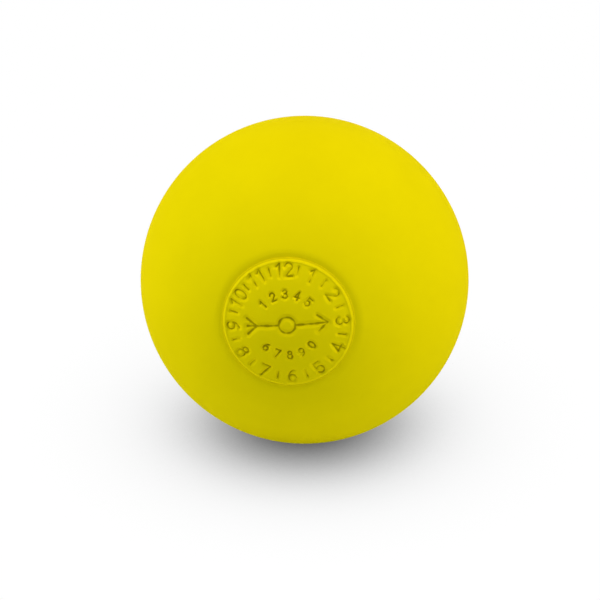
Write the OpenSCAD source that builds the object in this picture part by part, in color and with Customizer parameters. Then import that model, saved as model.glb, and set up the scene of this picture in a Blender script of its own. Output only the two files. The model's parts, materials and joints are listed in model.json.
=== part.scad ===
// Lacrosse ball: a solid rubber core, two rubber half covers moulded round it, and a round
// badge disc let into the front half, with a plain numbered dial engraved in it.
// The origin is the ball's centre and +Z points up. The badge looks along -Y, tilted up a
// little, as the ball lies at rest.

/* [Ball] */
// Outside diameter of the ball
ball_d = 63.5; // [56:0.1:75]
// Thickness of the rubber cover round the core
cover_t = 4; // [3:0.1:9]
// Width of the bond line between pieces that are moulded together
bond_gap = 0.05; // [0.02:0.01:0.12]

/* [Parting line] */
// Width of the fine groove where the two half covers meet
seam_w = 0.5; // [0.2:0.05:1.2]
// Depth of that groove
seam_depth = 0.05; // [0.03:0.01:0.15]

/* [Badge] */
// Diameter of the badge disc
badge_d = 25.4; // [22:0.1:32]
// Thickness of the badge disc
badge_t = 1.6; // [1:0.1:2.4]
// Angle by which the badge looks up from the horizontal
badge_lift = 12.7; // [-45:0.1:90]
// Turn of the badge about its own axis, anticlockwise as seen from outside
badge_roll = 6; // [-180:0.5:180]
// Width of the bead that makes the raised lip
lip_w = 0.5; // [0.3:0.02:0.8]
// Height of the lip above the ball's surface
lip_h = 0.12; // [0.05:0.01:0.15]
// Flat land between the lip and the disc's edge
lip_land = 0.2; // [0.02:0.01:0.3]
// Width of the moat, from the disc's edge outwards
moat_w = 1.6; // [0.8:0.05:3]
// Depth of the moat
moat_depth = 0.3; // [0.1:0.01:0.4]

/* [Dial] */
// Depth of everything that is engraved in the badge
engrave_depth = 0.4; // [0.1:0.05:0.6]
// Height of the figures in the outer ring
outer_fig_h = 2.8; // [1.5:0.1:3.2]
// Width of the engraved line in the outer ring
outer_line_w = 0.4; // [0.2:0.02:0.5]
// Margin between the outer figures and the disc's edge
fig_margin = 0.8; // [0.6:0.05:1.5]
// Length of the ticks between the outer figures
tick_len = 1.3; // [0.5:0.1:2.5]
// Gap between the outer figures and the inner ones
ring_gap = 2.1; // [0.5:0.05:2.5]
// Height of the figures in the inner ring
inner_fig_h = 1.9; // [1:0.1:2.2]
// Width of the engraved line in the inner ring
inner_line_w = 0.34; // [0.16:0.02:0.4]
// Gap between the pointer's ends and the outer figures
pointer_gap = 1.1; // [0.6:0.05:3]
// Width of the pointer's head, and of its hub ring
pointer_w = 3.7; // [2:0.1:4]
// Width of the pointer's engraved line
pointer_line_w = 0.55; // [0.3:0.05:0.8]

/* [Hidden] */
$fn = 96;
overrun = 0.5; // how far a cutting shape runs past what it cuts
cover_colour = "#e2cd06";
core_colour = "#8a8062";

ball_r = ball_d / 2;
core_r = ball_r - cover_t - bond_gap; // the cover's inside, less the bond line
badge_r = badge_d / 2;
edge_rise = sqrt(pow(ball_r, 2) - pow(badge_r, 2)); // height of the ball's surface at the disc's edge

// Radius of a round groove of a given width and depth in a ball of radius ball_r
function groove_r(width, depth) = 1 / (8 * depth / pow(width, 2) - 1 / ball_r);

// Outer and inner rings of the dial, to the middle of their figures
outer_ring_r = badge_r - fig_margin - outer_fig_h / 2;
inner_ring_r = outer_ring_r - outer_fig_h / 2 - ring_gap - inner_fig_h / 2;
pointer_r = outer_ring_r - outer_fig_h / 2 - pointer_gap;
outer_count = 12; // figures 1 to 12
turned_from = 4; // the figures from 4 to 8 have their tops towards the centre
turned_to = 8;
inner_step_angle = 23; // between figures of the inner ring
inner_side_count = 5; // figures in each of the inner ring's two arcs

// A figure is drawn in shares of its height, with its foot at 0 and its middle at x = 0
half_w_share = 0.3;
digit_pitch_share = 0.8; // between the two digits of a number
arc_steps = 8;
cap_steps = 4;

// Points of an elliptic arc: middle x and y, half axes, first and last angle
function arc_shares(e) = [for (i = [0:arc_steps])
    let (a = e[4] + (e[5] - e[4]) * i / arc_steps)
    [e[0] + e[2] * cos(a), e[1] + e[3] * sin(a)]];

bowl_shares = [0, 0.3, half_w_share, 0.3]; // the lower loop of 6, 8 and 9
stem_shares = [0.27, 0.3, 0.57, 0.7, 100, 180]; // the long back of 6 and 9

// Open strokes of each digit, as lists of points
open_shares = [
    [],
    [[[-0.2, 0.78], [0.06, 1]], [[0.06, 1], [0.06, 0]]],
    [concat(arc_shares([0, 0.7, half_w_share, 0.3, 165, -25]), [[-half_w_share, 0]]),
     [[-half_w_share, 0], [half_w_share, 0]]],
    [arc_shares([0, 0.76, 0.26, 0.24, 155, -90]),
     arc_shares([0, 0.26, half_w_share, 0.26, 90, -155])],
    [[[0.12, 0], [0.12, 1]], [[0.12, 1], [-half_w_share, 0.3]],
     [[-half_w_share, 0.3], [half_w_share, 0.3]]],
    [[[0.24, 1], [-0.24, 1]], [[-0.24, 1], [-0.27, 0.5]],
     arc_shares([0, 0.31, half_w_share, 0.31, 142, -150])],
    [arc_shares(stem_shares)],
    [[[-half_w_share, 1], [half_w_share, 1]], [[half_w_share, 1], [-0.08, 0]]],
    [],
    [[for (p = arc_shares(stem_shares)) [-p[0], 1 - p[1]]]]
];

// Closed loops of each digit: middle x and y, and half axes
loop_shares = [
    [[0, 0.5, half_w_share, 0.5]], [], [], [], [], [],
    [bowl_shares], [],
    [bowl_shares, [0, 0.79, 0.24, 0.21]],
    [[0, 1 - bowl_shares[1], half_w_share, bowl_shares[3]]]
];

function way(a, b) = (b - a) / norm(b - a);
function left_of(v) = [-v[1], v[0]];
// Where a line of width w that follows path p has its left edge beside point i
function edge_point(p, i, w) =
    let (before = way(p[max(i - 1, 0)], p[max(i, 1)]),
         after = way(p[min(i, len(p) - 2)], p[min(i + 1, len(p) - 1)]),
         n = left_of(before + after))
    p[i] + n / norm(n) * w / 2 / (norm(before + after) / 2);
function round_cap(p, v, w) = [for (i = [1:cap_steps - 1])
    let (a = 90 - 180 * i / cap_steps)
    p + w / 2 * (cos(a) * v + sin(a) * left_of(v))];
function reversed(p) = [for (i = [len(p) - 1:-1:0]) p[i]];
function one_side(p, w) = concat([for (i = [0:len(p) - 1]) edge_point(p, i, w)],
    round_cap(p[len(p) - 1], way(p[len(p) - 2], p[len(p) - 1]), w));

// An engraved line with round ends, along path p
module line(p, w) {
    polygon(concat(one_side(p, w), one_side(reversed(p), w)));
}

// An engraved loop of width w: e holds its middle and half axes
module loop(e, w) {
    function rim(grow) = [for (i = [0:2 * arc_steps - 1])
        let (a = 180 * i / arc_steps)
        [e[0] + (e[2] + grow) * cos(a), e[1] + (e[3] + grow) * sin(a)]];
    difference() {
        polygon(rim(w / 2));
        polygon(rim(-w / 2));
    }
}

// One digit of height h, centred, drawn with a line of width w inside that height
module digit(n, h, w) {
    reach = h - w;
    translate([0, -reach / 2]) {
        for (p = open_shares[n]) line(reach * p, w);
        for (e = loop_shares[n]) loop(reach * e, w);
    }
}

// A number of one or two digits, centred
module number(n, h, w) {
    shift = digit_pitch_share * (h - w) / 2;
    if (n < 10) digit(n, h, w);
    else {
        translate([-shift, 0]) digit(floor(n / 10), h, w);
        translate([shift, 0]) digit(n % 10, h, w);
    }
}

// Puts a figure on a ring, at an angle clockwise from the top, its top outwards or inwards
module on_ring(r, clock_angle, turned) {
    rotate(-clock_angle) translate([0, r]) rotate(turned ? 180 : 0) children();
}

module outer_ring() {
    step = 360 / outer_count;
    for (n = [1:outer_count]) {
        on_ring(outer_ring_r, n * step, n >= turned_from && n <= turned_to)
            number(n, outer_fig_h, outer_line_w);
        on_ring(outer_ring_r, (n + 1 / 2) * step, false)
            line([[0, -tick_len / 2], [0, tick_len / 2]], outer_line_w);
    }
}

module inner_ring() {
    for (i = [0:inner_side_count - 1]) {
        a = (i - (inner_side_count - 1) / 2) * inner_step_angle;
        on_ring(inner_ring_r, a, false)
            digit(i + 1, inner_fig_h, inner_line_w);
        on_ring(inner_ring_r, 180 - a, true)
            digit((inner_side_count + i + 1) % 10, inner_fig_h, inner_line_w);
    }
}

// A level arrow through a hub ring, its head to the right
module pointer() {
    hub_r = (pointer_w - pointer_line_w) / 2;
    head_len = pointer_w / 2;
    tip = pointer_r - pointer_line_w / 2;
    difference() {
        circle(r = hub_r + pointer_line_w / 2);
        circle(r = hub_r - pointer_line_w / 2);
    }
    for (side = [-1, 1]) {
        line([[side * hub_r, 0], [side * tip, 0]], pointer_line_w);
        line([[tip - head_len, side * hub_r], [tip, 0]], pointer_line_w);
        line([[-tip, side * hub_r], [-tip + head_len, 0]], pointer_line_w);
    }
}

// What is cut from the disc's face, down to a level engrave_depth below the ball's surface
module engraving() {
    low = edge_rise - badge_t;
    difference() {
        translate([0, 0, low])
            linear_extrude(height = ball_r + overrun - low) {
                outer_ring();
                inner_ring();
                pointer();
            }
        sphere(r = ball_r - engrave_depth);
    }
}

// A ring of round section whose middle lies at radius r from the badge's axis and at
// distance out from the ball's centre
module bead(r, out, section_r) {
    rotate_extrude()
        translate([r, sqrt(pow(out, 2) - pow(r, 2))])
            circle(r = section_r, $fn = 48);
}

// The badge's own frame has its axis along +Z: this tilts and turns it to its place
module as_lying() {
    rotate([90 - badge_lift, 0, 0]) rotate([0, 0, badge_roll]) children();
}

// Half of the cover, on the badge's side of the parting plane: side is 1, or -1 for the back
module half_cover(side) {
    groove = groove_r(seam_w, seam_depth);
    mirror([0, 0, side < 0 ? 1 : 0]) difference() {
        intersection() {
            sphere(r = ball_r);
            translate([0, 0, bond_gap / 2])
                cylinder(r = ball_r + overrun, h = ball_r + overrun);
        }
        sphere(r = ball_r - cover_t);
        bead(ball_r + groove - seam_depth, ball_r + groove - seam_depth, groove);
    }
}

module core() {
    color(core_colour) sphere(r = core_r);
}

module cover_front() {
    moat_low_share = 0.08; // where the moat is deepest, from the disc's edge
    moat_r = badge_r + moat_w * moat_low_share;
    section_r = groove_r(2 * moat_w * (1 - moat_low_share), moat_depth);
    color(cover_colour) as_lying() difference() {
        half_cover(1);
        difference() {
            cylinder(r = badge_r + bond_gap, h = ball_r + overrun);
            sphere(r = ball_r - badge_t - bond_gap);
        }
        bead(moat_r, ball_r + section_r - moat_depth, section_r);
    }
}

module cover_back() {
    color(cover_colour) as_lying() half_cover(-1);
}

module badge() {
    lip_out = ball_r + lip_h - lip_w / 2;
    color(cover_colour) as_lying() difference() {
        union() {
            intersection() {
                sphere(r = ball_r);
                cylinder(r = badge_r, h = ball_r + overrun);
            }
            bead(badge_r - lip_land - lip_w / 2, lip_out, lip_w / 2);
        }
        sphere(r = ball_r - badge_t);
        engraving();
    }
}

core();
cover_front();
cover_back();
badge();
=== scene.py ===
import json
import math

import bmesh
import bpy
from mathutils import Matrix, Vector


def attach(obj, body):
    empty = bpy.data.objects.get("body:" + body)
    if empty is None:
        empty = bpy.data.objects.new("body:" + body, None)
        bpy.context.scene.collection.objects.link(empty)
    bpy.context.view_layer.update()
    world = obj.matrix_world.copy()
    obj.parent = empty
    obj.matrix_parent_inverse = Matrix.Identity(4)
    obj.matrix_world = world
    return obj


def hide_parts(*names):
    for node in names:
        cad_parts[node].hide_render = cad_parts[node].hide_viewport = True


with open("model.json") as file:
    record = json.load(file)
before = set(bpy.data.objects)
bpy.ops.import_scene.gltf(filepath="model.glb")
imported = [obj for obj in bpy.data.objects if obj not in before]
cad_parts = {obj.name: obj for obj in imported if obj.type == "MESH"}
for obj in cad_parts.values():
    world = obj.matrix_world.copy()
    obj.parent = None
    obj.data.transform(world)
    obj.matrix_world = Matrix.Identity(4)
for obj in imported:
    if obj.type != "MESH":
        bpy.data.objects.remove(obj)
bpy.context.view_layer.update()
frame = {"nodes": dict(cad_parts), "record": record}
mm = 0.001
weld = 0.001 * mm  # points this close are one point
seats = {mount["name"]: mount for mount in frame["record"]["mounts"]}
ballRadius = seats["ball_seat"]["dims"]["r_mm"] * mm
restHeight = seats["rest_point"]["pos_m"][2]
print("frame loaded, ball radius", round(ballRadius / mm, 2), "mm")


def linear(hexColour):
    parts = [int(hexColour[i:i + 2], 16) / 255 for i in (1, 3, 5)]
    return [p / 12.92 if p <= 0.04045 else ((p + 0.055) / 1.055) ** 2.4 for p in parts] + [1]


# feeds are sockets or plain values by input name or number, settings are the node's own options
def addNode(tree, kind, feeds=None, **settings):
    node = tree.nodes.new(kind)
    for name, value in settings.items():
        setattr(node, name, value)
    for key, feed in (feeds or {}).items():
        if isinstance(feed, bpy.types.NodeSocket):
            tree.links.new(feed, node.inputs[key])
        else:
            node.inputs[key].default_value = feed
    return node


# A geometry tree with named inputs, given as name: (socket type, default)
def startTree(name, inputs):
    tree = bpy.data.node_groups.new(name, "GeometryNodeTree")
    tree.interface.new_socket("Geometry", in_out="OUTPUT", socket_type="NodeSocketGeometry")
    for label, (kind, default) in inputs.items():
        socket = tree.interface.new_socket(label, in_out="INPUT", socket_type="NodeSocket" + kind)
        if default is not None:
            socket.default_value = default
    return tree, addNode(tree, "NodeGroupInput").outputs


def endTree(tree, geometry):
    addNode(tree, "NodeGroupOutput", {0: geometry})


# Gives a Float Curve node its points
def drawCurve(mapping, points):
    curve = mapping.curves[0]
    while len(curve.points) < len(points):
        curve.points.new(0.5, 0.5)
    for point, (x, y) in zip(curve.points, points):
        point.location = (x, y)
    mapping.update()


# Runs a tree on a new object and keeps what it makes as a plain mesh
def grow(name, tree, values):
    piece = bpy.data.objects.new(name, bpy.data.meshes.new(name))
    bpy.context.scene.collection.objects.link(piece)
    modifier = piece.modifiers.new("grow", "NODES")
    modifier.node_group = tree
    for item in tree.interface.items_tree:
        if item.in_out == "INPUT" and item.name in values:
            modifier[item.identifier] = values[item.name]
    depsgraph = bpy.context.evaluated_depsgraph_get()
    made = bpy.data.meshes.new_from_object(
        piece.evaluated_get(depsgraph), preserve_all_data_layers=True, depsgraph=depsgraph)
    piece.modifiers.remove(modifier)
    piece.data = made
    made.name = name
    return piece


# Closes what should be closed, turns faces outwards and keeps real corners sharp
def dress(piece, cornerAngle):
    shell = bmesh.new()
    shell.from_mesh(piece.data)
    bmesh.ops.remove_doubles(shell, verts=shell.verts, dist=weld / 2)
    bmesh.ops.recalc_face_normals(shell, faces=shell.faces)
    openEdges = sum(not edge.is_manifold for edge in shell.edges)
    shell.to_mesh(piece.data)
    shell.free()
    piece.data.shade_smooth()
    piece.data.set_sharp_from_angle(angle=cornerAngle)
    triangles = sum(len(face.vertices) - 2 for face in piece.data.polygons)
    print(piece.name, triangles, "triangles,", openEdges, "open edges")


# How the ball lies: the badge looks towards -Y, tilted up and turned a little
lie = {"lift": math.radians(12.7), "roll": math.radians(6)}


# Ends a tree whose mesh is made about the badge's axis: turned to its place, real, with its material
def layDown(tree, geometry, given):
    rolled = addNode(tree, "GeometryNodeTransform", {
        "Geometry": geometry, "Rotation": (0, 0, lie["roll"])})
    tilted = addNode(tree, "GeometryNodeTransform", {
        "Geometry": rolled.outputs[0], "Rotation": (math.pi / 2 - lie["lift"], 0, 0)})
    whole = addNode(tree, "GeometryNodeRealizeInstances", {"Geometry": tilted.outputs[0]})
    return addNode(tree, "GeometryNodeSetMaterial", {
        "Geometry": whole.outputs[0], "Material": given["Material"]}).outputs[0]


# spunBand: a strip of quads spun about +Z, from one angle off that axis and radius to another
bandTree, given = startTree("spunBand", {
    "Rows": ("Int", 8), "Segments": ("Int", 64),
    "From Angle": ("Float", 0.0), "To Angle": ("Float", 1.0),
    "From Radius": ("Float", 1.0), "To Radius": ("Float", 1.0),
    "Crowding": ("Float", 0.0)})
columns = addNode(bandTree, "ShaderNodeMath", {0: given["Segments"], 1: 1}, operation="ADD")
lines = addNode(bandTree, "ShaderNodeMath", {0: given["Rows"], 1: 1}, operation="ADD")
strip = addNode(bandTree, "GeometryNodeMeshGrid", {
    "Size X": 1, "Size Y": 1, "Vertices X": columns.outputs[0], "Vertices Y": lines.outputs[0]})
place = addNode(bandTree, "GeometryNodeInputPosition").outputs[0]
at = addNode(bandTree, "ShaderNodeSeparateXYZ", {0: place})
along = addNode(bandTree, "ShaderNodeMath", {0: at.outputs["Y"], 1: 0.5}, operation="ADD")
around = addNode(bandTree, "ShaderNodeMath", {0: at.outputs["X"], 1: 0.5}, operation="ADD")
eased = addNode(bandTree, "ShaderNodeMapRange", {0: along.outputs[0]}, interpolation_type="SMOOTHSTEP")
crowded = addNode(bandTree, "ShaderNodeMix", {
    0: given["Crowding"], 2: along.outputs[0], 3: eased.outputs[0]})
angle = addNode(bandTree, "ShaderNodeMix", {
    0: crowded.outputs[0], 2: given["From Angle"], 3: given["To Angle"]})
reach = addNode(bandTree, "ShaderNodeMix", {
    0: along.outputs[0], 2: given["From Radius"], 3: given["To Radius"]})
turn = addNode(bandTree, "ShaderNodeMath", {0: around.outputs[0], 1: 2 * math.pi}, operation="MULTIPLY")
upright = addNode(bandTree, "ShaderNodeCombineXYZ", {
    "X": addNode(bandTree, "ShaderNodeMath", {0: angle.outputs[0]}, operation="SINE").outputs[0],
    "Z": addNode(bandTree, "ShaderNodeMath", {0: angle.outputs[0]}, operation="COSINE").outputs[0]})
spun = addNode(bandTree, "ShaderNodeVectorRotate", {
    "Vector": upright.outputs[0], "Angle": turn.outputs[0]}, rotation_type="Z_AXIS")
placed = addNode(bandTree, "ShaderNodeVectorMath", {
    0: spun.outputs[0], "Scale": reach.outputs[0]}, operation="SCALE")
band = addNode(bandTree, "GeometryNodeSetPosition", {
    "Geometry": strip.outputs[0], "Position": placed.outputs[0]})
endTree(bandTree, band.outputs[0])


# Angle off the badge's axis of a point at a distance aside from it and at a radius from the centre
def offAxis(tree, aside, radius):
    share = addNode(tree, "ShaderNodeMath", {0: aside, 1: radius}, operation="DIVIDE")
    return addNode(tree, "ShaderNodeMath", {0: share.outputs[0]}, operation="ARCSINE").outputs[0]


# The two half covers, ground rubber shells that meet at the mould's parting line
cover = {
    "Thickness": 4 * mm,
    "Bond Gap": 0.05 * mm,
    "Seam Width": 0.5 * mm,
    "Seam Depth": 0.04 * mm,
    "Badge Radius": 12.7 * mm,
    "Badge Thickness": 1.6 * mm,
    "Moat Width": 1.8 * mm,
    "Moat Depth": 0.37 * mm,
    "Moat Lean": 0.2,  # how much deeper it is above the badge than at its sides
    "Segments": 384,
    "Skin Rows": 150,
    "Inner Rows": 14,
    "Edge Rows": 2,
    "Floor Rows": 4,
    "Wall Rows": 3,
    "Crowding": 0.6,  # how far the skin's rows draw together at the badge and the parting line
    "cornerAngle": 40,
}
# Across the moat, from the disc's edge outwards, as shares of its width and depth
moatShape = [(0, 0.8), (0.05, 0.96), (0.1, 1), (0.28, 0.74), (0.54, 0.31), (0.8, 0.08), (1, 0)]


def coverTree(name, hasPocket):
    tree, given = startTree(name, {
        "Ball Radius": ("Float", ballRadius), "Thickness": ("Float", 0.0), "Bond Gap": ("Float", 0.0),
        "Seam Width": ("Float", 0.0), "Seam Depth": ("Float", 0.0),
        "Badge Radius": ("Float", 0.0), "Badge Thickness": ("Float", 0.0),
        "Moat Width": ("Float", 0.0), "Moat Depth": ("Float", 0.0), "Moat Lean": ("Float", 0.0),
        "Segments": ("Int", 64), "Skin Rows": ("Int", 8), "Inner Rows": ("Int", 4),
        "Edge Rows": ("Int", 1), "Floor Rows": ("Int", 1), "Wall Rows": ("Int", 1),
        "Crowding": ("Float", 0.0), "Material": ("Material", None)})
    skin = given["Ball Radius"]
    lining = addNode(tree, "ShaderNodeMath", {
        0: skin, 1: given["Thickness"]}, operation="SUBTRACT").outputs[0]
    halfGap = addNode(tree, "ShaderNodeMath", {
        0: given["Bond Gap"], 1: 2}, operation="DIVIDE").outputs[0]
    leanOut = offAxis(tree, halfGap, skin)
    leanIn = offAxis(tree, halfGap, lining)
    rimOut = addNode(tree, "ShaderNodeMath", {0: math.pi / 2, 1: leanOut}, operation="SUBTRACT").outputs[0]
    rimIn = addNode(tree, "ShaderNodeMath", {0: math.pi / 2, 1: leanIn}, operation="SUBTRACT").outputs[0]
    # each band: rows, first and last angle, first and last radius, crowding
    bands = [
        (given["Skin Rows"], 0.0, rimOut, skin, skin, given["Crowding"]),
        (given["Edge Rows"], rimOut, rimIn, skin, lining, 0.0),
        (given["Inner Rows"], rimIn, 0.0, lining, lining, 0.0),
    ]
    if hasPocket:
        side = addNode(tree, "ShaderNodeMath", {
            0: given["Badge Radius"], 1: given["Bond Gap"]}, operation="ADD").outputs[0]
        sunk = addNode(tree, "ShaderNodeMath", {
            0: given["Badge Thickness"], 1: given["Bond Gap"]}, operation="ADD").outputs[0]
        floor = addNode(tree, "ShaderNodeMath", {0: skin, 1: sunk}, operation="SUBTRACT").outputs[0]
        mouth, foot = offAxis(tree, side, skin), offAxis(tree, side, floor)
        bands[0] = (given["Skin Rows"], mouth, rimOut, skin, skin, given["Crowding"])
        bands += [
            (given["Floor Rows"], 0.0, foot, floor, floor, 0.0),
            (given["Wall Rows"], foot, mouth, floor, skin, 0.0),
        ]
    joined = addNode(tree, "GeometryNodeJoinGeometry")
    for rows, fromAngle, toAngle, fromRadius, toRadius, crowding in bands:
        made = addNode(tree, "GeometryNodeGroup", {
            "Rows": rows, "Segments": given["Segments"], "From Angle": fromAngle, "To Angle": toAngle,
            "From Radius": fromRadius, "To Radius": toRadius, "Crowding": crowding}, node_tree=bandTree)
        tree.links.new(made.outputs[0], joined.inputs[0])
    closed = addNode(tree, "GeometryNodeMergeByDistance", {
        "Geometry": joined.outputs[0], "Distance": weld})

    # the skin sinks at the parting line, and in the moat round the badge
    here = addNode(tree, "GeometryNodeInputPosition").outputs[0]
    apart = addNode(tree, "ShaderNodeSeparateXYZ", {0: here})
    out = addNode(tree, "ShaderNodeVectorMath", {0: here}, operation="LENGTH").outputs["Value"]
    justBelow = addNode(tree, "ShaderNodeMath", {0: skin, 1: 2 * weld}, operation="SUBTRACT").outputs[0]
    onSkin = addNode(tree, "FunctionNodeCompare", {"A": out, "B": justBelow}, operation="GREATER_THAN")
    halfSeam = addNode(tree, "ShaderNodeMath", {
        0: given["Seam Width"], 1: 2}, operation="DIVIDE").outputs[0]
    seamShare = addNode(tree, "ShaderNodeMapRange", {
        0: apart.outputs["Z"], 1: 0.0, 2: halfSeam, 3: 1.0, 4: 0.0}, interpolation_type="SMOOTHSTEP")
    sink = addNode(tree, "ShaderNodeMath", {
        0: seamShare.outputs[0], 1: given["Seam Depth"]}, operation="MULTIPLY").outputs[0]
    if hasPocket:
        flat = addNode(tree, "ShaderNodeCombineXYZ", {0: apart.outputs[0], 1: apart.outputs[1]})
        aside = addNode(tree, "ShaderNodeVectorMath", {
            0: flat.outputs[0]}, operation="LENGTH").outputs["Value"]
        far = addNode(tree, "ShaderNodeMath", {
            0: given["Badge Radius"], 1: given["Moat Width"]}, operation="ADD")
        across = addNode(tree, "ShaderNodeMapRange", {
            0: aside, 1: given["Badge Radius"], 2: far.outputs[0]})
        shape = addNode(tree, "ShaderNodeFloatCurve", {"Value": across.outputs[0]})
        drawCurve(shape.mapping, moatShape)
        upward = addNode(tree, "ShaderNodeMath", {0: apart.outputs[1], 1: aside}, operation="DIVIDE")
        leaning = addNode(tree, "ShaderNodeMath", {
            0: upward.outputs[0], 1: given["Moat Lean"], 2: 1.0}, operation="MULTIPLY_ADD")
        deepest = addNode(tree, "ShaderNodeMath", {
            0: leaning.outputs[0], 1: given["Moat Depth"]}, operation="MULTIPLY")
        moat = addNode(tree, "ShaderNodeMath", {
            0: shape.outputs[0], 1: deepest.outputs[0]}, operation="MULTIPLY")
        sink = addNode(tree, "ShaderNodeMath", {0: sink, 1: moat.outputs[0]}, operation="ADD").outputs[0]
    inward = addNode(tree, "ShaderNodeMath", {0: sink, 1: -1}, operation="MULTIPLY")
    offset = addNode(tree, "ShaderNodeVectorMath", {
        0: addNode(tree, "ShaderNodeVectorMath", {0: here}, operation="NORMALIZE").outputs[0],
        "Scale": inward.outputs[0]}, operation="SCALE")
    carved = addNode(tree, "GeometryNodeSetPosition", {
        "Geometry": closed.outputs[0], "Selection": onSkin.outputs[0], "Offset": offset.outputs[0]})
    half = carved.outputs[0]
    if not hasPocket:  # the back half is turned to the other side of the parting plane
        half = addNode(tree, "GeometryNodeTransform", {
            "Geometry": half, "Rotation": (math.pi, 0, 0)}).outputs[0]
    endTree(tree, layDown(tree, half, given))
    return tree


# The badge's dial: plain figures 1 to 12 with ticks, two short arcs of digits, and a level pointer
dial = {
    "engraveDepth": 0.4 * mm,
    "lineReach": 2.2,  # how far a line works on the face round it, in line widths
    "figMargin": 0.8 * mm,
    "outerHeight": 2.8 * mm,
    "outerLine": 0.4 * mm,
    "tickLength": 1.3 * mm,
    "ringGap": 2.1 * mm,
    "innerHeight": 1.9 * mm,
    "innerLine": 0.34 * mm,
    "pointerGap": 1.1 * mm,
    "pointerWidth": 3.7 * mm,
    "pointerLine": 0.55 * mm,
    "outerStep": 30,  # degrees from one outer figure to the next, with a tick half way
    "innerStep": 23,  # the same between the digits of an inner arc
    "flowSize": 1.6 * mm,  # size of the patches in which the strokes came out deeper or shallower
}
outerRing = cover["Badge Radius"] - dial["figMargin"] - dial["outerHeight"] / 2
innerRing = outerRing - (dial["outerHeight"] + dial["innerHeight"]) / 2 - dial["ringGap"]
pointerReach = outerRing - dial["outerHeight"] / 2 - dial["pointerGap"]


# Strokes of one digit in shares of its height, foot at 0 and middle at x = 0
def arc(midX, midY, halfX, halfY, fromDegrees, toDegrees, steps=18):
    angles = [math.radians(fromDegrees + (toDegrees - fromDegrees) * i / steps) for i in range(steps + 1)]
    return [(midX + halfX * math.cos(a), midY + halfY * math.sin(a)) for a in angles]


halfDigit = 0.3
stem = arc(0.27, 0.3, 0.57, 0.7, 100, 180)
bowl = arc(0, 0.3, halfDigit, 0.3, 0, 360)
digitStrokes = {
    0: [arc(0, 0.5, halfDigit, 0.5, 0, 360)],
    1: [[(-0.2, 0.78), (0.06, 1), (0.06, 0)]],
    2: [arc(0, 0.7, halfDigit, 0.3, 165, -25) + [(-halfDigit, 0), (halfDigit, 0)]],
    3: [arc(0, 0.76, 0.26, 0.24, 155, -90), arc(0, 0.26, halfDigit, 0.26, 90, -155)],
    4: [[(0.12, 0), (0.12, 1), (-halfDigit, 0.3), (halfDigit, 0.3)]],
    5: [[(0.24, 1), (-0.24, 1), (-0.27, 0.5)] + arc(0, 0.31, halfDigit, 0.31, 142, -150)],
    6: [stem, bowl],
    7: [[(-halfDigit, 1), (halfDigit, 1), (-0.08, 0)]],
    8: [bowl, arc(0, 0.79, 0.24, 0.21, 0, 360)],
    9: [[(-x, 1 - y) for x, y in stem], [(-x, 1 - y) for x, y in bowl]],
}
digitPitch = 0.8


def strokeObject(name, strokes):
    points, edges = [], []
    for stroke in strokes:
        edges += [(len(points) + i, len(points) + i + 1) for i in range(len(stroke) - 1)]
        points += [(x, y, 0) for x, y in stroke]
    mesh = bpy.data.meshes.new(name)
    mesh.from_pydata(points, edges, [])
    return bpy.data.objects.new(name, mesh)


def numberStrokes(number):
    digits = [int(d) for d in str(number)]
    middle = (len(digits) - 1) / 2
    return [[(x + (place - middle) * digitPitch, y - 0.5) for x, y in stroke]
            for place, digit in enumerate(digits) for stroke in digitStrokes[digit]]


# figureRing: puts the objects of a collection one by one round a circle, clockwise from the top
ringTree, given = startTree("figureRing", {
    "Figures": ("Collection", None), "Count": ("Int", 1), "Ring Radius": ("Float", 1.0),
    "Size": ("Float", 1.0), "First Angle": ("Float", 0.0), "Step Angle": ("Float", 0.0),
    "Turn": ("Float", 0.0)})
number = addNode(ringTree, "GeometryNodeInputIndex").outputs[0]
clock = addNode(ringTree, "ShaderNodeMath", {
    0: number, 1: given["Step Angle"], 2: given["First Angle"]}, operation="MULTIPLY_ADD").outputs[0]
sideways = addNode(ringTree, "ShaderNodeMath", {0: clock}, operation="SINE")
upwards = addNode(ringTree, "ShaderNodeMath", {0: clock}, operation="COSINE")
direction = addNode(ringTree, "ShaderNodeCombineXYZ", {0: sideways.outputs[0], 1: upwards.outputs[0]})
spot = addNode(ringTree, "ShaderNodeVectorMath", {
    0: direction.outputs[0], "Scale": given["Ring Radius"]}, operation="SCALE")
spots = addNode(ringTree, "GeometryNodePoints", {"Count": given["Count"], "Position": spot.outputs[0]})
facing = addNode(ringTree, "ShaderNodeMath", {0: given["Turn"], 1: clock}, operation="SUBTRACT")
spin = addNode(ringTree, "FunctionNodeEulerToRotation", {
    0: addNode(ringTree, "ShaderNodeCombineXYZ", {2: facing.outputs[0]}).outputs[0]})
figures = addNode(ringTree, "GeometryNodeCollectionInfo", {
    "Collection": given["Figures"], "Separate Children": True, "Reset Children": True})
stamped = addNode(ringTree, "GeometryNodeInstanceOnPoints", {
    "Points": spots.outputs[0], "Instance": figures.outputs[0], "Pick Instance": True,
    "Rotation": spin.outputs[0], "Scale": given["Size"]})
endTree(ringTree, addNode(ringTree, "GeometryNodeRealizeInstances", {0: stamped.outputs[0]}).outputs[0])

helpers = []


def figureCollection(name, numbers):
    kept = bpy.data.collections.new(name)
    for place, number in enumerate(numbers):
        figure = strokeObject(f"{name}{place:02d}", numberStrokes(number))
        kept.objects.link(figure)
        helpers.append(figure)
    return kept


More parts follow.
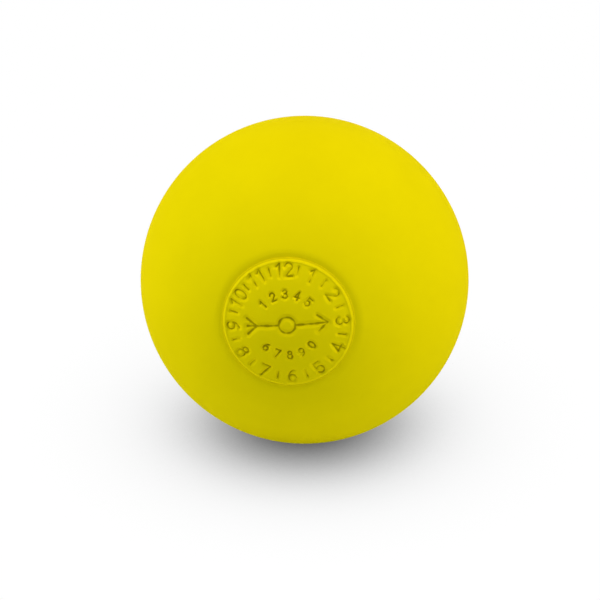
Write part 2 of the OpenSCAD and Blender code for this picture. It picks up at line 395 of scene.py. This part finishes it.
# Joins rings of figures into one object of edges, each ring given as: the figures' collection,
# how many, the ring's radius, the figures' size, first angle, step, and whether their tops point inwards
def ringLines(name, rings):
    tree, given = startTree(name, {})
    joined = addNode(tree, "GeometryNodeJoinGeometry")
    for collection, count, radius, size, first, step, turned in rings:
        ring = addNode(tree, "GeometryNodeGroup", {
            "Figures": collection, "Count": count, "Ring Radius": radius, "Size": size,
            "First Angle": math.radians(first), "Step Angle": math.radians(step),
            "Turn": math.pi if turned else 0}, node_tree=ringTree)
        tree.links.new(ring.outputs[0], joined.inputs[0])
    endTree(tree, joined.outputs[0])
    made = grow(name, tree, {})
    helpers.append(made)
    return made


ticks = bpy.data.collections.new("ticks")
tick = strokeObject("tick", [[(0, -0.5), (0, 0.5)]])
ticks.objects.link(tick)
helpers.append(tick)
outerSize = dial["outerHeight"] - dial["outerLine"]
innerSize = dial["innerHeight"] - dial["innerLine"]
outerStep, innerStep = dial["outerStep"], dial["innerStep"]
outerUpper = figureCollection("upperOuter", [9, 10, 11, 12, 1, 2, 3])
outerLower = figureCollection("lowerOuter", [8, 7, 6, 5, 4])
outerLines = ringLines("outerLines", [
    (outerUpper, 7, outerRing, outerSize, -3 * outerStep, outerStep, False),
    (outerLower, 5, outerRing, outerSize, 8 * outerStep, -outerStep, True),
    (ticks, 12, outerRing, dial["tickLength"], outerStep / 2, outerStep, False)])
innerUpper = figureCollection("upperInner", [1, 2, 3, 4, 5])
innerLower = figureCollection("lowerInner", [6, 7, 8, 9, 0])
innerLines = ringLines("innerLines", [
    (innerUpper, 5, innerRing, innerSize, -2 * innerStep, innerStep, False),
    (innerLower, 5, innerRing, innerSize, 180 + 2 * innerStep, -innerStep, True)])
hub = (dial["pointerWidth"] - dial["pointerLine"]) / 2
tip = pointerReach - dial["pointerLine"] / 2
head = dial["pointerWidth"] / 2
pointerLines = strokeObject("pointerLines", [
    arc(0, 0, hub, hub, 0, 360, 48),
    [(hub, 0), (tip, 0)], [(-tip, 0), (-hub, 0)],
    [(tip - head, hub), (tip, 0), (tip - head, -hub)],
    [(-tip, hub), (head - tip, 0), (-tip, -hub)]])
helpers.append(pointerLines)
edgeCount = len(outerLines.data.edges) + len(innerLines.data.edges)
print("dial drawn:", edgeCount, "edges of figures and ticks")

# The badge: a curved moulded disc with a raised lip, its face a fine net of quads that the dial carves
badge = {
    "Disc Radius": cover["Badge Radius"],
    "Thickness": cover["Badge Thickness"],
    "Rim Width": 1.6 * mm,
    "Rim Height": 0.12 * mm,
    "Rim Fall": 0.24 * mm,  # twice the height, so that two thirds of the curve is level
    "Engrave Depth": dial["engraveDepth"],
    "Line Reach": dial["lineReach"],
    "Outer Share": 0.92,  # the outer figures are moulded shallower than the rest
    "Unevenness": 1.2,  # how much the depth follows the patches, 0 for even strokes
    "Net": 280,  # quads across the face, an even number
    "Side Rows": 3,
    "Belly Rows": 5,
    "cornerAngle": 75,
}
# Across the rim, outwards: level (two thirds), the lip's crest (1), and the fall to the disc's edge (0)
rimShape = [
    (0, 0.667), (0.42, 0.667), (0.5, 0.7), (0.6, 0.91), (0.67, 1),
    (0.73, 0.94), (0.82, 0.66), (0.92, 0.25), (1, 0)]
# From a line's middle outwards, as shares of its reach and depth: the cut, then a bank up to the face
lineShape = [
    (0, 1), (0.09, 0.94), (0.16, 0.8), (0.23, 0.66), (0.32, 0.48),
    (0.46, 0.24), (0.6, 0.07), (0.74, 0), (1, 0)]
lineGroups = {"Outer": (outerLines, dial["outerLine"]), "Inner": (innerLines, dial["innerLine"]),
              "Pointer": (pointerLines, dial["pointerLine"])}

badgeInputs = {
    "Ball Radius": ("Float", ballRadius), "Disc Radius": ("Float", 0.0), "Thickness": ("Float", 0.0),
    "Rim Width": ("Float", 0.0), "Rim Height": ("Float", 0.0), "Rim Fall": ("Float", 0.0),
    "Engrave Depth": ("Float", 0.0), "Line Reach": ("Float", 1.0), "Outer Share": ("Float", 1.0),
    "Unevenness": ("Float", 0.0), "Net": ("Int", 8), "Side Rows": ("Int", 1), "Belly Rows": ("Int", 1),
    "Material": ("Material", None)}
for label in lineGroups:
    badgeInputs[label + " Lines"] = ("Object", None)
    badgeInputs[label + " Width"] = ("Float", 0.0)
badgeTree, given = startTree("engravedDisc", badgeInputs)
tree = badgeTree
corners = addNode(tree, "ShaderNodeMath", {0: given["Net"], 1: 1}, operation="ADD").outputs[0]
net = addNode(tree, "GeometryNodeMeshGrid", {
    "Size X": 2, "Size Y": 2, "Vertices X": corners, "Vertices Y": corners})
# the square net becomes a disc of even rings: the longer side gives the radius, the shorter the angle
here = addNode(tree, "GeometryNodeInputPosition").outputs[0]
square = addNode(tree, "ShaderNodeSeparateXYZ", {0: here})
absX = addNode(tree, "ShaderNodeMath", {0: square.outputs[0]}, operation="ABSOLUTE").outputs[0]
absY = addNode(tree, "ShaderNodeMath", {0: square.outputs[1]}, operation="ABSOLUTE").outputs[0]
xLonger = addNode(tree, "ShaderNodeMath", {0: absX, 1: absY}, operation="GREATER_THAN").outputs[0]
xFirst = addNode(tree, "ShaderNodeMath", {0: square.outputs[1], 1: square.outputs[0]}, operation="DIVIDE")
yFirst = addNode(tree, "ShaderNodeMath", {0: square.outputs[0], 1: square.outputs[1]}, operation="DIVIDE")
xTurn = addNode(tree, "ShaderNodeMath", {0: xFirst.outputs[0], 1: math.pi / 4}, operation="MULTIPLY")
yTurn = addNode(tree, "ShaderNodeMath", {
    0: yFirst.outputs[0], 1: -math.pi / 4, 2: math.pi / 2}, operation="MULTIPLY_ADD")
turn = addNode(tree, "ShaderNodeMix", {0: xLonger, 2: yTurn.outputs[0], 3: xTurn.outputs[0]}).outputs[0]
reach = addNode(tree, "ShaderNodeMix", {
    0: xLonger, 2: square.outputs[1], 3: square.outputs[0]}).outputs[0]
ray = addNode(tree, "ShaderNodeCombineXYZ", {
    0: addNode(tree, "ShaderNodeMath", {0: turn}, operation="COSINE").outputs[0],
    1: addNode(tree, "ShaderNodeMath", {0: turn}, operation="SINE").outputs[0]})
wide = addNode(tree, "ShaderNodeMath", {0: reach, 1: given["Disc Radius"]}, operation="MULTIPLY")
onDisc = addNode(tree, "ShaderNodeVectorMath", {
    0: ray.outputs[0], "Scale": wide.outputs[0]}, operation="SCALE")
disc = addNode(tree, "GeometryNodeSetPosition", {
    "Geometry": net.outputs[0], "Position": onDisc.outputs[0]})

# how deep each point is cut, from its distance to the nearest line of the dial in line widths
widthsAway = None
for label in lineGroups:
    drawn = addNode(tree, "GeometryNodeObjectInfo", {
        "Object": given[label + " Lines"]}).outputs["Geometry"]
    near = addNode(tree, "GeometryNodeProximity", {"Geometry": drawn}, target_element="EDGES")
    away = addNode(tree, "ShaderNodeMath", {
        0: near.outputs["Distance"], 1: given[label + " Width"]}, operation="DIVIDE").outputs[0]
    widthsAway = away if widthsAway is None else addNode(
        tree, "ShaderNodeMath", {0: widthsAway, 1: away}, operation="MINIMUM").outputs[0]
overLine = addNode(tree, "ShaderNodeMapRange", {0: widthsAway, 1: 0.0, 2: given["Line Reach"]})
line = addNode(tree, "ShaderNodeFloatCurve", {"Value": overLine.outputs[0]})
drawCurve(line.mapping, lineShape)
# it is shallower in the outer ring, and in patches, where the rubber filled the mould less sharply
aside = addNode(tree, "ShaderNodeVectorMath", {0: here}, operation="LENGTH").outputs["Value"]
outward = addNode(tree, "ShaderNodeMapRange", {
    0: aside, 1: pointerReach, 2: pointerReach + dial["pointerGap"], 3: 1.0, 4: given["Outer Share"]})
flow = addNode(tree, "ShaderNodeTexNoise", {"Vector": here, "Scale": 1 / dial["flowSize"], "Detail": 1})
fromMiddle = addNode(tree, "ShaderNodeMath", {0: flow.outputs[0], 1: 0.5}, operation="SUBTRACT")
uneven = addNode(tree, "ShaderNodeMath", {
    0: fromMiddle.outputs[0], 1: given["Unevenness"], 2: 1.0}, operation="MULTIPLY_ADD")
share = addNode(tree, "ShaderNodeMath", {
    0: outward.outputs[0], 1: uneven.outputs[0]}, operation="MULTIPLY")
cut = addNode(tree, "ShaderNodeMath", {
    0: line.outputs[0], 1: share.outputs[0]}, operation="MULTIPLY").outputs[0]
marked = addNode(tree, "GeometryNodeStoreNamedAttribute", {
    "Geometry": disc.outputs[0], "Name": "engraved", "Value": cut})
rimStart = addNode(tree, "ShaderNodeMath", {
    0: given["Disc Radius"], 1: given["Rim Width"]}, operation="SUBTRACT")
overRim = addNode(tree, "ShaderNodeMapRange", {0: aside, 1: rimStart.outputs[0], 2: given["Disc Radius"]})
rim = addNode(tree, "ShaderNodeFloatCurve", {"Value": overRim.outputs[0]})
drawCurve(rim.mapping, rimShape)
lowest = addNode(tree, "ShaderNodeMath", {0: given["Rim Fall"], 1: -1}, operation="MULTIPLY")
rimRise = addNode(tree, "ShaderNodeMapRange", {
    0: rim.outputs[0], 1: 0.0, 2: 1.0, 3: lowest.outputs[0], 4: given["Rim Height"]})
marked = addNode(tree, "GeometryNodeStoreNamedAttribute", {
    "Geometry": marked.outputs[0], "Name": "proud", "Value": rim.outputs[0]})
lip = addNode(tree, "ShaderNodeMath", {0: rimRise.outputs[0], 1: given["Ball Radius"]}, operation="ADD")
sunk = addNode(tree, "ShaderNodeMath", {0: cut, 1: given["Engrave Depth"]}, operation="MULTIPLY")
level = addNode(tree, "ShaderNodeMath", {0: lip.outputs[0], 1: sunk.outputs[0]}, operation="SUBTRACT")
levelSquare = addNode(tree, "ShaderNodeMath", {0: level.outputs[0], 1: 2}, operation="POWER")
asideSquare = addNode(tree, "ShaderNodeMath", {0: aside, 1: 2}, operation="POWER")
heightSquare = addNode(tree, "ShaderNodeMath", {
    0: levelSquare.outputs[0], 1: asideSquare.outputs[0]}, operation="SUBTRACT")
height = addNode(tree, "ShaderNodeMath", {0: heightSquare.outputs[0]}, operation="SQRT")
raised = addNode(tree, "ShaderNodeCombineXYZ", {2: height.outputs[0]})
face = addNode(tree, "GeometryNodeSetPosition", {
    "Geometry": marked.outputs[0], "Offset": raised.outputs[0]})

# the disc's side and underside, with as many segments as the net has quads round its edge
under = addNode(tree, "ShaderNodeMath", {
    0: given["Ball Radius"], 1: given["Thickness"]}, operation="SUBTRACT").outputs[0]
segments = addNode(tree, "ShaderNodeMath", {0: given["Net"], 1: 4}, operation="MULTIPLY").outputs[0]
edge = addNode(tree, "ShaderNodeMath", {
    0: given["Ball Radius"], 1: given["Rim Fall"]}, operation="SUBTRACT").outputs[0]
topAngle = offAxis(tree, given["Disc Radius"], edge)
footAngle = offAxis(tree, given["Disc Radius"], under)
side = addNode(tree, "GeometryNodeGroup", {
    "Rows": given["Side Rows"], "Segments": segments, "From Angle": topAngle, "To Angle": footAngle,
    "From Radius": edge, "To Radius": under}, node_tree=bandTree)
belly = addNode(tree, "GeometryNodeGroup", {
    "Rows": given["Belly Rows"], "Segments": segments, "From Angle": footAngle, "To Angle": 0.0,
    "From Radius": under, "To Radius": under}, node_tree=bandTree)
joined = addNode(tree, "GeometryNodeJoinGeometry")
for part in (face, side, belly):
    tree.links.new(part.outputs[0], joined.inputs[0])
closed = addNode(tree, "GeometryNodeMergeByDistance", {
    "Geometry": joined.outputs[0], "Distance": weld})
endTree(tree, layDown(tree, closed.outputs[0], given))


# Natural rubber, filled with pale mineral powder and a dense lemon pigment, and vulcanised in a mould
rubber = {
    "yellow": "#ead802",
    "shade": "#e8d602",
    "paintedStrokeShade": "#b4a202",  # painted shade at the bottom of the strokes, where light gets lost
    "paintedLipHighlight": "#f1de08",  # painted highlight: the lip's crest is coloured paler, standing in for the light it catches
    "paintedCreaseShade": "#cfbd02",  # painted shade on its outer foot, where it falls into the moat
    "specular": 0.002,  # far under plain rubber's, because the skin is ground and dusted
    "groundRoughness": 0.68,
    "mouldedRoughness": 0.55,
    "roughnessSpread": 0.06,
    "grit": 0.3 * mm,  # grinding grain, a little coarser than real so that it shows
    "gritHeight": 0.012 * mm,
    "grainRange": (0.3, 0.7),  # shares of the noise that make the smoothest and the roughest grain
    "mottle": 9 * mm,  # size of the faint patches of colour
    "mottleRange": (0.35, 0.65),  # shares of the noise between which one colour passes into the other
    "strokeShadeFrom": 0.66,  # share of the full depth at which the painted shade in a stroke starts
    "lipHighlightFrom": 0.82,  # share of the lip's rise at which its painted highlight starts
    "creaseShadeRange": (0.6, 0.15),  # and of its fall to the disc's edge, over which the painted shade thickens
}


def blendColour(tree, share, under, over):
    return addNode(tree, "ShaderNodeMix", {
        "Factor": share, 6: under, 7: over}, data_type="RGBA").outputs[2]


# Smooth share, 0 to 1, of a stored attribute between two of its values
def overAttribute(tree, name, fromValue, toValue):
    stored = addNode(tree, "ShaderNodeAttribute", attribute_name=name).outputs["Fac"]
    return addNode(tree, "ShaderNodeMapRange", {
        0: stored, 1: fromValue, 2: toValue}, interpolation_type="SMOOTHSTEP").outputs[0]


def rubberMaterial(name, roughness, gritHeight, engraved):
    material = bpy.data.materials.new(name)
    material.use_nodes = True
    tree = material.node_tree
    tree.nodes.clear()
    where = addNode(tree, "ShaderNodeTexCoord").outputs["Object"]
    mottle = addNode(tree, "ShaderNodeTexNoise", {
        "Vector": where, "Scale": 1 / rubber["mottle"], "Detail": 3, "Roughness": 0.6})
    mottleLow, mottleHigh = rubber["mottleRange"]
    mottled = addNode(tree, "ShaderNodeMapRange", {0: mottle.outputs[0], 1: mottleLow, 2: mottleHigh})
    colour = blendColour(tree, mottled.outputs[0], linear(rubber["yellow"]), linear(rubber["shade"]))
    if engraved:
        # painted shade at the bottom of the strokes
        deep = overAttribute(tree, "engraved", rubber["strokeShadeFrom"], 1.0)
        colour = blendColour(tree, deep, colour, linear(rubber["paintedStrokeShade"]))
        # painted highlight on the lip's crest
        lipHighlightShare = overAttribute(tree, "proud", rubber["lipHighlightFrom"], 1.0)
        colour = blendColour(tree, lipHighlightShare, colour, linear(rubber["paintedLipHighlight"]))
        # painted shade on the lip's outer foot
        crease = overAttribute(tree, "proud", *rubber["creaseShadeRange"])
        colour = blendColour(tree, crease, colour, linear(rubber["paintedCreaseShade"]))
    grain = addNode(tree, "ShaderNodeTexNoise", {
        "Vector": where, "Scale": 1 / rubber["grit"], "Detail": 2, "Roughness": 0.5})
    grainLow, grainHigh = rubber["grainRange"]
    rough = addNode(tree, "ShaderNodeMapRange", {
        0: grain.outputs[0], 1: grainLow, 2: grainHigh,
        3: roughness - rubber["roughnessSpread"], 4: roughness + rubber["roughnessSpread"]})
    bump = addNode(tree, "ShaderNodeBump", {
        "Height": grain.outputs[0], "Strength": 1.0, "Distance": gritHeight})
    shader = addNode(tree, "ShaderNodeBsdfPrincipled", {
        "Base Color": colour, "Roughness": rough.outputs[0], "Normal": bump.outputs[0],
        "Specular IOR Level": rubber["specular"]})
    addNode(tree, "ShaderNodeOutputMaterial", {0: shader.outputs[0]})
    return material


# Vulcanised natural rubber, its skin ground off evenly all over: a flat, chalky yellow without a
# highlight, whose fine grain breaks up the light
groundRubber = rubberMaterial(
    "groundNaturalRubber", rubber["groundRoughness"], rubber["gritHeight"], False)
# The same rubber as it leaves the mould, not ground: a little smoother, so edges look crisper, with
# painted shade in the strokes and at the lip's outer foot, and a painted highlight on the lip's crest
mouldedRubber = rubberMaterial(
    "mouldedNaturalRubber", rubber["mouldedRoughness"], rubber["gritHeight"] / 2, True)

coverFront = grow("coverFront", coverTree("coverWithPocket", True), {**cover, "Material": groundRubber})
coverBack = grow("coverBack", coverTree("coverPlain", False), {**cover, "Material": groundRubber})
badgeValues = {**badge, "Material": mouldedRubber}
for label, (lines, width) in lineGroups.items():
    badgeValues[label + " Lines"] = lines
    badgeValues[label + " Width"] = width
badgeDisc = grow("badgeDisc", badgeTree, badgeValues)
for piece, values in ((coverFront, cover), (coverBack, cover), (badgeDisc, badge)):
    dress(piece, math.radians(values["cornerAngle"]))
    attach(piece, "root")
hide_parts("cover_front")
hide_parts("cover_back")
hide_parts("badge")
for helper in helpers:
    bpy.data.objects.remove(helper)

# The core is rubber compound with plenty of filler, moulded first: a dull tan with darker specks,
# seen only where the ball is cut open or its cover is hidden
compound = {
    "tan": "#8a8062",
    "speck": "#6f664c",
    "speckSize": 1.5 * mm,
    "bumpHeight": 0.05 * mm,
    "roughness": 0.8,
}
coreRubber = bpy.data.materials.new("filledRubberCompound")
coreRubber.use_nodes = True
tree = coreRubber.node_tree
tree.nodes.clear()
where = addNode(tree, "ShaderNodeTexCoord").outputs["Object"]
filler = addNode(tree, "ShaderNodeTexNoise", {
    "Vector": where, "Scale": 1 / compound["speckSize"], "Detail": 4}).outputs[0]
colour = blendColour(tree, filler, linear(compound["tan"]), linear(compound["speck"]))
bump = addNode(tree, "ShaderNodeBump", {"Height": filler, "Distance": compound["bumpHeight"]})
shader = addNode(tree, "ShaderNodeBsdfPrincipled", {
    "Base Color": colour, "Roughness": compound["roughness"], "Normal": bump.outputs[0]})
addNode(tree, "ShaderNodeOutputMaterial", {0: shader.outputs[0]})
core = frame["nodes"]["core"]
core.data.materials.clear()
core.data.materials.append(coreRubber)
print("rubber pieces made")

# A white studio: the floor keeps the shadow near the ball and goes to plain white further out
studio = {
    "floorSize": 6.0,
    "floorColour": "#ebf1f1",
    "shadowReach": 300 * mm,
    "shadowSamples": 32,
    # what the camera sees of the floor, for the share of the sky that the ball leaves open there
    "shadeCurve": [(0, 0), (0.29, 0.42), (0.49, 0.73), (0.65, 0.91), (0.86, 1), (1, 1)],
    # lamp: (place, width and height, watts, colour), the keys warm and the rest cooler
    "lamps": {
        "keyLeft": ((-0.55, 0, 0.65), (0.6, 0.6), 3.66, "#fff0ec"),
        "keyRight": ((0.55, 0, 0.65), (0.6, 0.6), 4.28, "#ffece7"),
        "top": ((0, 0, 0.9), (0.3, 0.3), 0.97, "#e6ffff"),
        "fillAbove": ((0, -0.5, 0.75), (0.7, 0.7), 2.15, "#e3ffff"),
        "fillBack": ((0, 0.8, 0.1), (0.6, 0.3), 1.0, "#ffffff"),
        "edgeLeft": ((-0.8, 0, 0.08), (0.6, 0.2), 1.93, "#f9ffff"),
        "edgeRight": ((0.8, 0, 0.08), (0.6, 0.2), 1.46, "#f4ffff"),
    },
}


# 1 for what the camera sees directly, in a reflection or through glass, and 0 for light that bounces
def seenDirectly(tree):
    path = addNode(tree, "ShaderNodeLightPath").outputs
    mirrored = addNode(tree, "ShaderNodeMath", {
        0: path["Is Camera Ray"], 1: path["Is Glossy Ray"]}, operation="MAXIMUM")
    return addNode(tree, "ShaderNodeMath", {
        0: mirrored.outputs[0], 1: path["Is Transmission Ray"]}, operation="MAXIMUM").outputs[0]


half = studio["floorSize"] / 2
floorMesh = bpy.data.meshes.new("floor")
floorCorners = [(-half, -half, restHeight), (half, -half, restHeight),
                (half, half, restHeight), (-half, half, restHeight)]
floorMesh.from_pydata(floorCorners, [], [(0, 1, 2, 3)])
floor = bpy.data.objects.new("floor", floorMesh)
bpy.context.scene.collection.objects.link(floor)
# Matte white background paper: no sheen, only the ball's soft shadow shows on it
paper = bpy.data.materials.new("matteWhitePaper")
paper.use_nodes = True
tree = paper.node_tree
tree.nodes.clear()
paperLit = addNode(tree, "ShaderNodeBsdfDiffuse", {"Color": linear(studio["floorColour"])})
openSky = addNode(tree, "ShaderNodeAmbientOcclusion", {
    "Distance": studio["shadowReach"]}, samples=studio["shadowSamples"])
shade = addNode(tree, "ShaderNodeFloatCurve", {"Value": openSky.outputs["AO"]})
drawCurve(shade.mapping, studio["shadeCurve"])
seen = addNode(tree, "ShaderNodeEmission", {"Color": (1, 1, 1, 1), "Strength": shade.outputs[0]})
mixed = addNode(tree, "ShaderNodeMixShader", {
    0: seenDirectly(tree), 1: paperLit.outputs[0], 2: seen.outputs[0]})
addNode(tree, "ShaderNodeOutputMaterial", {0: mixed.outputs[0]})
floorMesh.materials.append(paper)

world = bpy.data.worlds.new("studioAir")
bpy.context.scene.world = world
world.use_nodes = True
tree = world.node_tree
tree.nodes.clear()
sky = addNode(tree, "ShaderNodeBackground", {"Color": (1, 1, 1, 1), "Strength": seenDirectly(tree)})
addNode(tree, "ShaderNodeOutputWorld", {0: sky.outputs[0]})

for name, (place, size, watts, colour) in studio["lamps"].items():
    light = bpy.data.lights.new(name, "AREA")
    light.shape = "RECTANGLE"
    light.size, light.size_y = size
    light.energy = watts
    light.color = linear(colour)[:3]
    lamp = bpy.data.objects.new(name, light)
    lamp.location = place
    lamp.rotation_euler = (-Vector(place)).to_track_quat("-Z", "Y").to_euler()
    lamp.visible_camera = False
    bpy.context.scene.collection.objects.link(lamp)
print("studio lit")

# The camera stands where the photograph's did: the ball's place and size in the picture fix it
shot = {
    "azimuth": math.radians(6.3),
    "elevation": math.radians(29.1),
    "distance": 2.0,
    "clip": (0.01, 20),
    "sensor": 36.0,  # mm, and the lens comes out in mm too
    "picture": 600,  # pixels
    "ballAt": (304.6, 279.7),  # the ball's middle, in pixels from the top left
    "ballHalf": 164.05,  # its radius in pixels
}
flatShare = math.cos(shot["elevation"])
back = Vector((math.sin(shot["azimuth"]) * flatShare, -math.cos(shot["azimuth"]) * flatShare,
               math.sin(shot["elevation"])))
perPixel = shot["sensor"] / shot["picture"]
lens = shot["ballHalf"] * perPixel / math.tan(math.asin(ballRadius / shot["distance"]))
turned = back.to_track_quat("Z", "Y")
rightward, upward = turned @ Vector((1, 0, 0)), turned @ Vector((0, 1, 0))
pixelSize = perPixel / lens * shot["distance"]
aim = (rightward * (shot["picture"] / 2 - shot["ballAt"][0])
       + upward * (shot["ballAt"][1] - shot["picture"] / 2)) * pixelSize
cameraData = bpy.data.cameras.new("camera")
cameraData.lens, cameraData.sensor_width = lens, shot["sensor"]
cameraData.clip_start, cameraData.clip_end = shot["clip"]
camera = bpy.data.objects.new("camera", cameraData)
camera.location = aim + back * shot["distance"]
camera.rotation_euler = turned.to_euler()
bpy.context.scene.collection.objects.link(camera)
bpy.context.scene.camera = camera
bpy.context.scene.view_settings.view_transform = "Standard"

print("camera set, lens", round(lens, 1), "mm")
